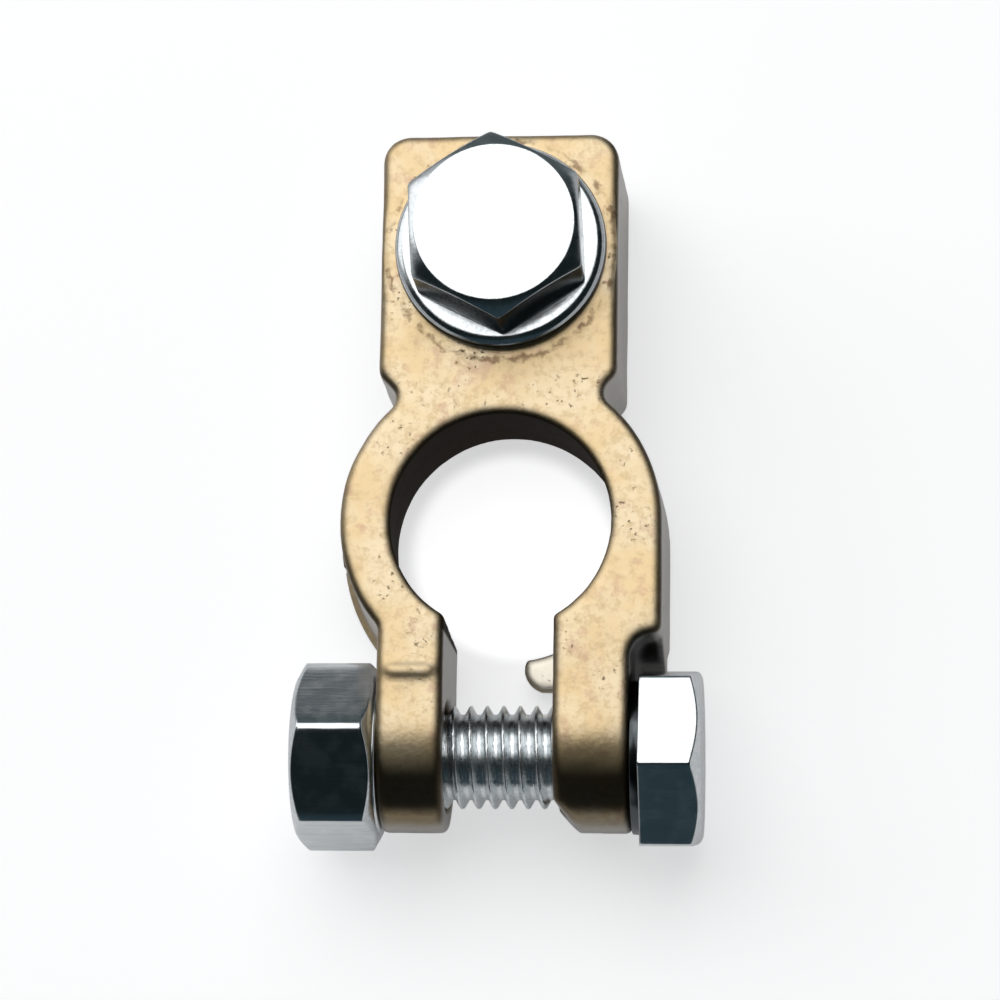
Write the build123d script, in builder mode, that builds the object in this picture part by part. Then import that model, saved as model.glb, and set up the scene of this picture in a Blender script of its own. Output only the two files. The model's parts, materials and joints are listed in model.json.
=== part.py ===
"""Cast brass clamp for the negative post of a vehicle battery, with its M8 hardware.

The casting is a split ring with a cable tab on one side and two ears on the other.
Lengths are in millimetres and angles in degrees. The origin is on the axis of the post
bore, level with the underside. +Z is up along the post, +Y points at the cable tab, and
the clamp bolt runs along X with its head at +X and its nut at -X.
"""

import math
import os

from build123d import *

os.makedirs("parts", exist_ok=True)

# Battery post and the bore that grips it
post_base_diameter = 17.9
post_slack = 0.1
post_taper = 1 / 9
body_height = 11.5

# Split ring
ring_outer_diameter = 24.4
draft_angle = 1.0
gap_width = 8.25
gap_centre_x = -0.03

# Cable tab
tab_width = 18.2
tab_centre_x = -0.35
tab_end_y = 30.5
tab_corner_round = 2.3
tab_shoulder_y = 11.3
tab_shoulder_round = 1.4
tab_root_y = 8.0

# Ears, and how far past the ring the clamp bolt crosses them
left_ear_thickness = 5.0
right_ear_thickness = 5.75
clamp_axis_setback = 5.0
bolt_hole_slack = 0.8
right_ear_bevel_x = 1.8
right_ear_bevel_y = 2.1

# Shoulder that runs down beside the ring and stops short of the bolt's head
shoulder_drop = 1.5
shoulder_corner_round = 0.9
shoulder_notch_round = 1.6

# Softened edges of the casting, and the most that a drafted corner leans
inside_corner_round = 0.9
edge_round = 0.5
bore_mouth_chamfer = 0.2
corner_lean_limit = 8.0

# Boss under the cable's eye
boss_diameter = 17.6
boss_height = 0.35
boss_edge_chamfer = 0.15

# Foot left round the bottom of the casting
foot_thickness = 1.0
foot_reach = 1.0
foot_start_y = -1.9
skirt_reach = 0.6
skirt_draft = 4.5
skirt_height = 9.5
nib_height = 3.0
nib_reach = 0.9
nib_length = 5.0
shoulder_foot_length = 2.0
shoulder_foot_height = 8.5
stop_lug_radius = 1.75
stop_lug_reach = 2.95
stop_lug_y = -9.6

# Raised polarity bar on the left ear
bar_length = 3.4
bar_width = 0.65
bar_height = 0.22
bar_y = -11.45

# M8 hardware
thread_diameter = 7.9
thread_slack = 0.1
thread_point_chamfer = 0.8
across_flats = 12.8
head_height = 5.3
head_face_diameter = 12.1
hex_sides = 6
hex_chamfer_angle = 30.0
seat_diameter = 11.9
seat_height = 0.45
clamp_bolt_length = 25.0
cable_bolt_length = 12.0
nut_thickness = 6.4
nut_mouth_chamfer = 0.5
washer_diameter = 16.2
washer_hole_slack = 0.5
washer_thickness = 1.6
washer_edge_chamfer = 0.3

# Turn of each hexagon, from its plane's X axis to the middle of a flat
clamp_head_turn = -18.0
clamp_nut_turn = -19.6
cable_head_turn = 3.2

# Where the cable bolt stands on the tab
cable_bolt_x = -0.15
cable_bolt_y = 21.2

# Worked out from the sizes above
bore_foot_radius = (post_base_diameter + post_slack) / 2
bore_top_radius = bore_foot_radius - body_height * post_taper / 2
ring_radius = ring_outer_diameter / 2
draft_growth = body_height * math.tan(math.radians(draft_angle))
ring_foot_radius = ring_radius + draft_growth
gap_left_x = gap_centre_x - gap_width / 2
gap_right_x = gap_centre_x + gap_width / 2
ear_left_x = gap_left_x - left_ear_thickness
ear_right_x = gap_right_x + right_ear_thickness
ear_end_radius = body_height / 2
clamp_axis_y = -(ring_radius + clamp_axis_setback)
ear_end_y = clamp_axis_y - ear_end_radius
clamp_axis_z = body_height / 2
shoulder_end_y = -(math.sqrt(ring_radius**2 - ear_right_x**2) + shoulder_drop)
thread_radius = thread_diameter / 2
tapped_radius = (thread_diameter + thread_slack) / 2
boss_top = body_height + boss_height
cable_seat = boss_top + washer_thickness
flat_to_corner = 180 / hex_sides
hex_corner_radius = across_flats / 2 / math.cos(math.radians(flat_to_corner))
hex_chamfer_drop = (hex_corner_radius - head_face_diameter / 2) * math.tan(
    math.radians(hex_chamfer_angle)
)


def beside(corners, x, y):
    """The corner or upright edge that stands closest to (x, y)."""
    return corners.sort_by_distance((x, y, corners[0].center().Z))[0]


def upright_corner(x, y):
    """The upright edge of the casting that stands closest to (x, y)."""
    least_rise = math.cos(math.radians(corner_lean_limit))
    uprights = edges().filter_by(lambda edge: abs(edge.tangent_at().Z) > least_rise)
    return uprights.sort_by_distance((x, y, clamp_axis_z))[0]


def crescent(radius, near_y, far_y):
    """Sketch the part of a disc round the bore that lies outside the left ear's wall."""
    Circle(radius)
    with Locations((ear_left_x + edge_round, (near_y + far_y) / 2)):
        Rectangle(
            radius,
            far_y - near_y,
            align=(Align.MAX, Align.CENTER),
            mode=Mode.INTERSECT,
        )


def chamfered_hexagon(base, height, turn, far_end_only):
    """Add a hexagon prism on the base plane, its corners chamfered as on bolt heads and nuts."""
    face_radius = head_face_diameter / 2
    near_end = [(hex_corner_radius, 0)]
    if not far_end_only:
        near_end = [(face_radius, 0), (hex_corner_radius, hex_chamfer_drop)]
    with BuildSketch(base) as hexagon:
        RegularPolygon(
            across_flats / 2,
            hex_sides,
            major_radius=False,
            rotation=turn - flat_to_corner,
        )
    extrude(hexagon.sketch, amount=height)
    with BuildSketch(Plane(base.origin, x_dir=base.x_dir, z_dir=-base.y_dir)) as envelope:
        with BuildLine():
            Polyline(
                (0, 0),
                *near_end,
                (hex_corner_radius, height - hex_chamfer_drop),
                (face_radius, height),
                (0, height),
                close=True,
            )
        make_face()
    revolve(envelope.sketch, axis=Axis(base.origin, base.z_dir), mode=Mode.INTERSECT)


def hex_bolt(seat, length, turn):
    """Add a hexagon bolt whose head sits on the seat plane and whose shank runs down from it."""
    chamfered_hexagon(seat.offset(seat_height), head_height - seat_height, turn, far_end_only=True)
    with BuildSketch(seat) as bearing_face:
        Circle(seat_diameter / 2)
    extrude(bearing_face.sketch, amount=seat_height)
    with BuildSketch(seat) as shank:
        Circle(thread_radius)
    extrude(shank.sketch, amount=-length)
    point = faces().sort_by(Axis(seat.origin, seat.z_dir))[0]
    chamfer(point.edges(), thread_point_chamfer)


# Clamp body: the ring, tab and ears are one casting
with BuildPart() as clamp_body:
    # Both ears, as one slab with a half-round end
    with BuildSketch(Plane.YZ.offset(ear_left_x)) as ear_side:
        with Locations((clamp_axis_y, clamp_axis_z)):
            Circle(ear_end_radius)
        with Locations((clamp_axis_y / 2, clamp_axis_z)):
            Rectangle(-clamp_axis_y, body_height)
    extrude(amount=ear_right_x - ear_left_x)

    # Ring, tab and shoulder, drafted so that the foot is wider than the top
    with BuildSketch() as casting_plan:
        Circle(ring_foot_radius)
        with Locations(
            ((ring_foot_radius + gap_right_x) / 2, (shoulder_end_y - draft_growth) / 2)
        ):
            Rectangle(ring_foot_radius - gap_right_x, draft_growth - shoulder_end_y)
        with BuildSketch(mode=Mode.PRIVATE) as tab_plan:
            with Locations((tab_centre_x, (tab_root_y + tab_end_y + draft_growth) / 2)):
                Rectangle(tab_width + 2 * draft_growth, tab_end_y + draft_growth - tab_root_y)
            fillet(tab_plan.vertices().group_by(Axis.Y)[-1], tab_corner_round)
            chamfer(tab_plan.vertices().group_by(Axis.Y)[0], tab_shoulder_y - tab_root_y)
            root_chamfer_ends = tab_plan.vertices().filter_by_position(
                Axis.Y, tab_shoulder_y - draft_growth, tab_shoulder_y + draft_growth
            )
            fillet(root_chamfer_ends, tab_shoulder_round)
        add(tab_plan.sketch)
        shoulder_corner = beside(
            casting_plan.vertices(), ring_foot_radius, shoulder_end_y - draft_growth
        )
        fillet(shoulder_corner, shoulder_corner_round)
        # Growing and then shrinking the outline rounds every inside corner
        offset(amount=inside_corner_round, kind=Kind.ARC, mode=Mode.REPLACE)
        offset(amount=-inside_corner_round, kind=Kind.ARC, mode=Mode.REPLACE)
    extrude(amount=body_height, taper=draft_angle)

    # Gap that lets the ring close, with the right ear's bevel beside it
    with BuildSketch() as gap_plan:
        with Locations((gap_centre_x, ear_end_y / 2)):
            Rectangle(gap_width, -ear_end_y)
        with BuildLine():
            Polyline(
                (gap_right_x, ear_end_y),
                (gap_right_x + right_ear_bevel_x, ear_end_y),
                (gap_right_x, ear_end_y + right_ear_bevel_y),
                close=True,
            )
        make_face()
    extrude(amount=body_height, mode=Mode.SUBTRACT)

    # Upright inside corners where the ears meet the ring and the shoulder
    ear_root_y = -math.sqrt(ring_radius**2 - ear_left_x**2)
    fillet(upright_corner(ear_left_x, ear_root_y), inside_corner_round)
    fillet(upright_corner(ear_right_x, shoulder_end_y), shoulder_notch_round)

    # Soften the edges round the top, the underside and the ears' ends, the bore's less
    ends = faces().filter_by(GeomType.CYLINDER).filter_by(lambda face: face.radius == ear_end_radius)
    flats = faces().filter_by(Plane.XY).sort_by(Axis.Z)
    bevel_middle = (
        gap_right_x + right_ear_bevel_x / 2,
        ear_end_y + right_ear_bevel_y / 2,
        clamp_axis_z,
    )
    bevel = faces().sort_by_distance(bevel_middle)[0]
    rims = flats[0].edges() + flats[-1].edges() + ends.edges() + bevel.edges()
    seams = ends.edges().filter_by(Axis.X)
    fillet([edge for edge in rims if edge not in seams], edge_round)

    # Half-round stop in the gap, on the right ear's foot
    with BuildSketch() as stop_lug:
        with Locations((gap_right_x - stop_lug_reach + stop_lug_radius, stop_lug_y)):
            Circle(stop_lug_radius)
        with Locations((gap_right_x - (stop_lug_reach - stop_lug_radius) / 2, stop_lug_y)):
            Rectangle(stop_lug_reach - stop_lug_radius + 2 * edge_round, 2 * stop_lug_radius)
    extrude(amount=foot_thickness)

    # Skirt that leans out between the ring and the left ear, down to a thin foot
    with BuildSketch() as skirt:
        crescent(ring_radius + skirt_reach, clamp_axis_y, foot_start_y)
    extrude(amount=skirt_height, taper=skirt_draft)
    with BuildSketch() as foot:
        crescent(ring_radius + foot_reach, clamp_axis_y, foot_start_y)
    extrude(amount=foot_thickness)
    with BuildSketch() as nib:
        crescent(ring_radius + nib_reach, foot_start_y, foot_start_y + nib_length)
    extrude(amount=nib_height)

    # Wedge that leans out from the shoulder's end, down to a foot under the bolt's head
    with BuildSketch(Plane.YZ.offset(ear_right_x - edge_round)) as shoulder_foot:
        with BuildLine():
            Polyline(
                (shoulder_end_y, shoulder_foot_height),
                (shoulder_end_y - shoulder_foot_length, 0),
                (shoulder_end_y + edge_round, 0),
                (shoulder_end_y + edge_round, shoulder_foot_height),
                close=True,
            )
        make_face()
    extrude(amount=ring_radius - ear_right_x + edge_round)

    # Bore, wider at the foot as the post is, and chamfered at both mouths
    with BuildSketch(Plane.XZ) as bore_profile:
        with BuildLine():
            Polyline(
                (0, 0),
                (bore_foot_radius + bore_mouth_chamfer, 0),
                (bore_foot_radius, bore_mouth_chamfer),
                (bore_top_radius, body_height - bore_mouth_chamfer),
                (bore_top_radius + bore_mouth_chamfer, body_height),
                (0, body_height),
                close=True,
            )
        make_face()
    revolve(axis=Axis.Z, mode=Mode.SUBTRACT)

    # Holes for the clamp bolt and the cable bolt
    with BuildSketch(Plane.YZ.offset(ear_left_x)) as bolt_hole:
        with Locations((clamp_axis_y, clamp_axis_z)):
            Circle((thread_diameter + bolt_hole_slack) / 2)
    extrude(amount=ear_right_x - ear_left_x, mode=Mode.SUBTRACT)

    # Boss for the cable's eye, and the tapped hole through it
    with BuildSketch(Plane.XY.offset(body_height - boss_height)) as boss_plan:
        with Locations((cable_bolt_x, cable_bolt_y)):
            Circle(boss_diameter / 2)
    extrude(amount=2 * boss_height)
    chamfer(faces().sort_by(Axis.Z)[-1].edges(), boss_edge_chamfer)
    with BuildSketch() as tapped_hole:
        with Locations((cable_bolt_x, cable_bolt_y)):
            Circle(tapped_radius)
    extrude(amount=boss_top, mode=Mode.SUBTRACT)

    # Polarity bar
    with BuildSketch(Plane.XY.offset(body_height)) as polarity_bar:
        with Locations((ear_left_x + left_ear_thickness / 2, bar_y)):
            SlotOverall(bar_length, bar_width)
    extrude(amount=bar_height)
clamp_body.part.label = "clamp_body"
export_step(clamp_body.part, "parts/clamp_body.step")

# Clamp bolt: drawn through both ears from the right
with BuildPart() as clamp_bolt:
    clamp_seat = Plane((ear_right_x, clamp_axis_y, clamp_axis_z), x_dir=(0, 0, 1), z_dir=(1, 0, 0))
    hex_bolt(clamp_seat, clamp_bolt_length, clamp_head_turn)
clamp_bolt.part.label = "clamp_bolt"
export_step(clamp_bolt.part, "parts/clamp_bolt.step")

# Clamp nut: runs on the bolt's thread against the left ear
with BuildPart() as clamp_nut:
    nut_seat = Plane((ear_left_x, clamp_axis_y, clamp_axis_z), x_dir=(0, 0, 1), z_dir=(-1, 0, 0))
    chamfered_hexagon(
        nut_seat.offset(seat_height), nut_thickness - seat_height, clamp_nut_turn, far_end_only=False
    )
    with BuildSketch(nut_seat) as nut_bearing_face:
        Circle(seat_diameter / 2)
    extrude(amount=seat_height)
    with BuildSketch(nut_seat) as nut_thread:
        Circle(tapped_radius)
    extrude(amount=nut_thickness, mode=Mode.SUBTRACT)
    mouths = edges().filter_by(GeomType.CIRCLE).filter_by(lambda edge: edge.radius == tapped_radius)
    chamfer(mouths, nut_mouth_chamfer)
clamp_nut.part.label = "clamp_nut"
export_step(clamp_nut.part, "parts/clamp_nut.step")

# Cable bolt: screws down into the tab through the washer
with BuildPart() as cable_bolt:
    cable_bolt_seat = Plane((cable_bolt_x, cable_bolt_y, cable_seat))
    hex_bolt(cable_bolt_seat, cable_bolt_length, cable_head_turn)
cable_bolt.part.label = "cable_bolt"
export_step(cable_bolt.part, "parts/cable_bolt.step")

# Cable washer: flat, between the boss and the cable bolt's head
with BuildPart() as cable_washer:
    with BuildSketch(Plane.XY.offset(boss_top)) as washer_plan:
        with Locations((cable_bolt_x, cable_bolt_y)):
            Circle(washer_diameter / 2)
            Circle((thread_diameter + washer_hole_slack) / 2, mode=Mode.SUBTRACT)
    extrude(amount=washer_thickness)
    outer_rims = edges().filter_by(GeomType.CIRCLE).filter_by(
        lambda edge: edge.radius == washer_diameter / 2
    )
    chamfer(outer_rims.sort_by(Axis.Z)[-1], washer_edge_chamfer)
cable_washer.part.label = "cable_washer"
export_step(cable_washer.part, "parts/cable_washer.step")
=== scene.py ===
"""Studio scene for a cast brass battery terminal clamp with its M8 hardware.

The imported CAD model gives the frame. This script dresses it: the casting is softened and
given its tumbled skin, and the bolts, nut and washer get threads, rounded corners and
zinc plating. Lengths are in metres, and the origin is on the axis of the post bore, level
with the underside.
"""

import json
import logging
import math
from dataclasses import dataclass, field
from enum import Enum
from functools import partial, reduce
from typing import Callable, Sequence

import bmesh
import bpy
from mathutils import Matrix, Vector, noise

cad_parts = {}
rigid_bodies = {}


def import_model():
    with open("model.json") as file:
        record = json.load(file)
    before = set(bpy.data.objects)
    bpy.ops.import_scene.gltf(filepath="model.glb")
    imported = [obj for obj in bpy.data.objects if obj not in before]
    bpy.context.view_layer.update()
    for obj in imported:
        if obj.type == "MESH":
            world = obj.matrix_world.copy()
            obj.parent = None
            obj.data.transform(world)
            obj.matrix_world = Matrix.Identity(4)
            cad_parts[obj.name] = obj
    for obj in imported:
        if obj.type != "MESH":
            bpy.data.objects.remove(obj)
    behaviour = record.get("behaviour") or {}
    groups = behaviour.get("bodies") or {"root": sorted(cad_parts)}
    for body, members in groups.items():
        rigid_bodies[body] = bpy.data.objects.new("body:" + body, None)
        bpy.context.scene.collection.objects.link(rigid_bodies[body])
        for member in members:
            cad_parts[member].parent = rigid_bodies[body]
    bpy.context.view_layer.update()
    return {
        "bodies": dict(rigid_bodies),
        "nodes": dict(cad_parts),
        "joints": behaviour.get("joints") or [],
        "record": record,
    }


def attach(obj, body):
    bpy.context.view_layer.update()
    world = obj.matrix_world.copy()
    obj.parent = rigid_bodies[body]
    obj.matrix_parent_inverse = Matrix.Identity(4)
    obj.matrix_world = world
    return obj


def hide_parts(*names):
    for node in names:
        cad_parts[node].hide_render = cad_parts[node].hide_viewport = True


LOG = logging.getLogger("battery_clamp")
MM = 0.001
SHARP_EDGE = 50
ALL_SMOOTH = 180
WELD = 1e-7
VECTOR = "NodeSocketVector"
FLOAT = "NodeSocketFloat"
SURFACE = {"Color": "NodeSocketColor", "Roughness": FLOAT, "Height": FLOAT}

Radius = Callable[[float], float]
Pair = tuple[float, float]
Triple = tuple[float, float, float]
Rgb = tuple[int, int, int]
Mesh = bmesh.types.BMesh
Piece = bpy.types.Object
Tree = bpy.types.NodeTree
Node = bpy.types.Node
Socket = bpy.types.NodeSocket
Axes = tuple[Socket, Socket, Socket]


class Body(str, Enum):
    """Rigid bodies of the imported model."""

    CLAMP = "clamp"
    CLAMP_BOLT = "clamp_bolt"
    CLAMP_NUT = "clamp_nut"
    CABLE_WASHER = "cable_washer"
    CABLE_BOLT = "cable_bolt"


class Slot(str, Enum):
    """Material slots of the record."""

    BRASS = "cast_brass"
    STEEL = "plated_steel"


class Skin(Enum):
    """Finishes of the pieces, the plated ones by the way that their axis runs."""

    CASTING = "casting"
    ACROSS = "across"
    UPRIGHT = "upright"


# ---- Sizes ----


@dataclass(frozen=True)
class Thread:
    """Right-hand metric thread seen as a radius at each angle and height.

    Attributes:
        crest: Radius of the crests.
        root: Radius of the roots.
        pitch: Travel of one turn.
        start: Height at which a crest crosses angle zero.
    """

    crest: float
    root: float
    pitch: float
    start: float

    def radius(self, angle: float, height: float) -> float:
        """Radius of the thread's surface.

        Args:
            angle: Angle about the axis, in radians.
            height: Height along the axis.

        Returns:
            The radius there, between root and crest.
        """
        turns = (height - self.start) / self.pitch - angle / math.tau
        from_crest = abs(turns - round(turns)) * self.pitch
        half_crest = self.pitch / 16
        flank = (self.crest - self.root) / math.sqrt(3)
        fall = min(max((from_crest - half_crest) / flank, 0.0), 1.0)
        return self.crest - (self.crest - self.root) * fall


@dataclass(frozen=True)
class Hexagon:
    """Hexagon with slightly rounded corners and the cone chamfer of bolt heads.

    Attributes:
        face_radius: Radius of the flat end inside the chamfer.
        turn: Angle of the middle of one flat, in degrees.
        corner_sharpness: Larger for sharper corners.
        chamfer_slope: Rise of the chamfer cone over its width.
    """

    across_flats: float
    face_radius: float
    turn: float
    corner_sharpness: float = 70.0
    chamfer_slope: float = math.tan(math.radians(30))

    def radius(self, angle: float) -> float:
        """Radius of the hexagon's outline.

        Args:
            angle: Angle about the axis, in radians.

        Returns:
            Distance from the axis to the outline.
        """
        total = 0.0
        for side in range(6):
            facing = math.cos(angle - math.radians(self.turn + 60 * side))
            if facing > 0:
                total += facing**self.corner_sharpness
        return self.across_flats / 2 * total ** (-1 / self.corner_sharpness)

    def chamfer_drop(self, angle: float) -> float:
        """Distance below the end face at which the chamfer cone leaves the outline."""
        return (self.radius(angle) - self.face_radius) * self.chamfer_slope

    def angles(self) -> list[float]:
        """Rising angles over one turn, crowded together near each corner, in radians."""
        steps = (-26, -20, -14, -9, -5, -2.6, -1.3, -0.5, 0.5, 1.3, 2.6, 5, 9, 14, 20, 26, 30)
        corners = [self.turn + 30 + 60 * side for side in range(6)]
        return [math.radians(corner + step) for corner in corners for step in steps]

    def inset(self, width: float) -> Radius:
        """Outline that is smaller by a width all round."""
        return lambda angle: self.radius(angle) - width

    def below(self, top: float, depth: float) -> Radius:
        """Height at a depth below the chamfer of the upper end."""
        return lambda angle: top - self.chamfer_drop(angle) - depth

    def above(self, rise: float) -> Radius:
        """Height at a rise above the chamfer of the lower end."""
        return lambda angle: self.chamfer_drop(angle) + rise


@dataclass(frozen=True)
class AxisFrame:
    """Where a turned piece stands: its origin, its own X direction and its axis."""

    origin: Vector
    x_dir: Vector
    z_dir: Vector

    def matrix(self) -> Matrix:
        """Transform from the piece's own frame to the model's frame.

        Returns:
            A rigid 4 by 4 matrix.
        """
        y_dir = self.z_dir.cross(self.x_dir)
        turn = Matrix((self.x_dir, y_dir, self.z_dir)).transposed()
        return Matrix.Translation(self.origin) @ turn.to_4x4()


EAR_RIGHT_X = 9.845 * MM
EAR_LEFT_X = -9.155 * MM
CLAMP_AXIS = (-17.2 * MM, 5.75 * MM)
CABLE_AXIS = (-0.15 * MM, 21.2 * MM)
POST_AXIS = (0.0, 0.0)
CABLE_SEAT = 13.45 * MM
BODY_HEIGHT = 11.5 * MM
BOSS_TOP = 11.85 * MM
BOSS_RADIUS = 8.8 * MM
BORE_RADIUS = 9.0 * MM
FOOT_THICKNESS = 1.0 * MM
PITCH = 1.25 * MM
CREST = 3.9 * MM
ROOT = 3.24 * MM
SEAT_MIDDLE_X = EAR_RIGHT_X + 0.325 * MM


# ---- Meshes ----


class RingStack:
    """Closed or open tube grown ring by ring with edge extrusion.

    Each ring keeps the angles of the first one, so a radius may depend on the angle.
    """

    def __init__(self, angles: Sequence[float]) -> None:
        """Start a stack.

        Args:
            angles: Rising angles of the points in every ring, in radians.
        """
        self.mesh = bmesh.new()
        self.angles = list(angles)
        self.first: list[bmesh.types.BMVert] = []
        self.last: list[bmesh.types.BMVert] = []

    def ring(self, radius: Radius | float, height: Radius | float) -> None:
        """Add the next ring and the faces that lead to it.

        Args:
            radius: Radius, or a function of the angle.
            height: Height along the axis, or a function of the angle.
        """
        if not self.last:
            made = bmesh.ops.create_circle(
                self.mesh, cap_ends=False, segments=len(self.angles), radius=MM
            )
            self.last = list(made["verts"])
            self.first = self.last
        else:
            edges = [
                self.mesh.edges.get((a, b))
                for a, b in zip(self.last, self.last[1:] + self.last[:1])
            ]
            made = bmesh.ops.extrude_edge_only(self.mesh, edges=edges)
            fresh = {v for v in made["geom"] if isinstance(v, bmesh.types.BMVert)}
            self.last = [
                next(e.other_vert(v) for e in v.link_edges if e.other_vert(v) in fresh)
                for v in self.last
            ]
        for vert, angle in zip(self.last, self.angles):
            r = radius(angle) if callable(radius) else radius
            z = height(angle) if callable(height) else height
            vert.co = (r * math.cos(angle), r * math.sin(angle), z)

    def finish(self, frame: AxisFrame, closed: bool = True) -> Mesh:
        """Close the ends and place the mesh.

        Args:
            frame: Where the piece stands.
            closed: Whether both ends get a flat face.

        Returns:
            The placed mesh.
        """
        for end in (self.last, self.first) if closed else ():
            bmesh.ops.contextual_create(self.mesh, geom=list(end))
        return placed(self.mesh, frame)


def placed(mesh: Mesh, frame: AxisFrame) -> Mesh:
    """Merge doubled points, turn normals outward and place the mesh.

    Args:
        mesh: Mesh in the piece's own frame.
        frame: Where the piece stands.

    Returns:
        The same mesh.
    """
    bmesh.ops.remove_doubles(mesh, verts=mesh.verts[:], dist=WELD)
    bmesh.ops.recalc_face_normals(mesh, faces=mesh.faces[:])
    bmesh.ops.transform(mesh, matrix=frame.matrix(), verts=mesh.verts[:])
    return mesh


def to_object(name: str, mesh: Mesh, smooth_angle: float = SHARP_EDGE) -> Piece:
    """Turn a mesh into a linked object with smooth shading.

    Args:
        name: Name of the object.
        mesh: Finished mesh, which is freed here.
        smooth_angle: Edges sharper than this stay sharp, in degrees.

    Returns:
        The new object, at the origin and unturned.
    """
    data = bpy.data.meshes.new(name)
    mesh.to_mesh(data)
    mesh.free()
    data.polygons.foreach_set("use_smooth", [True] * len(data.polygons))
    data.set_sharp_from_angle(angle=math.radians(smooth_angle))
    piece = bpy.data.objects.new(name, data)
    bpy.context.scene.collection.objects.link(piece)
    LOG.info("%s: %d faces", name, len(data.polygons))
    return piece


@dataclass(frozen=True)
class HexBolt:
    """Hexagon bolt, measured from the seat under its head.

    Attributes:
        seat_height: Height of the washer face, which is part of the head's height.
        seat_hole: Radius inside which the shank covers the seat.
        soft: Rounding of the head's edges.
        core: Depth of the shank's hidden top below the thread's roots, and its height.
        point_rim: Width and height of the rounded rim of the end face.
    """

    length: float
    head: Hexagon
    head_height: float = 5.3 * MM
    seat_height: float = 0.65 * MM
    seat_radius: float = 5.8 * MM
    seat_hole: float = 3.6 * MM
    soft: float = 0.06 * MM
    core: Pair = (0.1 * MM, 0.2 * MM)
    point_chamfer: float = 0.8 * MM
    point_radius: float = 3.15 * MM
    point_rim: Pair = (0.15 * MM, 0.03 * MM)
    steps_per_turn: int = 20
    sides: int = 84

    def head_mesh(self, frame: AxisFrame) -> Mesh:
        """Head with its washer face, from the seat upwards.

        Args:
            frame: Seat plane, its axis pointing out of the head.

        Returns:
            A closed mesh.
        """
        outline = self.head
        top, seat, soft = self.head_height, self.seat_height, self.soft
        stack = RingStack(outline.angles())
        for radius, height in (
            (self.seat_hole, 0.0),
            (self.seat_radius - soft, 0.0),
            (self.seat_radius, soft),
            (self.seat_radius + soft / 2, seat - soft),
            (self.seat_radius + soft, seat),
            (outline.inset(soft), seat),
            (outline.radius, seat + soft),
            (outline.radius, seat + 4 * soft),
            (outline.radius, outline.below(top, 3 * soft)),
            (outline.radius, outline.below(top, soft / 2)),
            (outline.inset(soft), outline.below(top, -soft / 2)),
            (outline.face_radius + soft, top - soft * outline.chamfer_slope),
            (outline.face_radius - soft, top),
            (outline.face_radius - 4 * soft, top),
        ):
            stack.ring(radius, height)
        return stack.finish(frame)

    def shank_mesh(self, thread: Thread, frame: AxisFrame) -> Mesh:
        """Threaded shank that runs down from the seat to a chamfered point.

        Args:
            thread: Thread cut on the shank.
            frame: Seat plane, its axis pointing out of the head.

        Returns:
            A closed mesh.
        """
        level_step = thread.pitch / self.steps_per_turn
        chamfer_slope = (thread.crest - self.point_radius) / self.point_chamfer

        def wall(height: float) -> Radius:
            """Thread at a height, cut back by the chamfer at the point."""
            limit = self.point_radius + (height + self.length) * chamfer_slope
            return lambda angle: min(thread.radius(angle, height), limit)

        stack = RingStack([math.tau * i / self.sides for i in range(self.sides)])
        depth, rise = self.core
        stack.ring(thread.root - depth, rise)
        for level in range(math.ceil(self.length / level_step)):
            height = -level * level_step
            stack.ring(wall(height), height)
        inset, rise = self.point_rim
        stack.ring(wall(rise - self.length), rise - self.length)
        stack.ring(self.point_radius - inset, -self.length)
        return stack.finish(frame)

    def build(self, name: str, thread: Thread, frame: AxisFrame) -> Piece:
        """Whole bolt.

        Args:
            name: Name of the object.
            thread: Thread cut on the shank.
            frame: Seat plane, its axis pointing out of the head.

        Returns:
            The new object.
        """
        whole = bmesh.new()
        for part in (self.head_mesh(frame), self.shank_mesh(thread, frame)):
            carrier = bpy.data.meshes.new("carrier")
            part.to_mesh(carrier)
            part.free()
            whole.from_mesh(carrier)
            bpy.data.meshes.remove(carrier)
        return to_object(name, whole)


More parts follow.
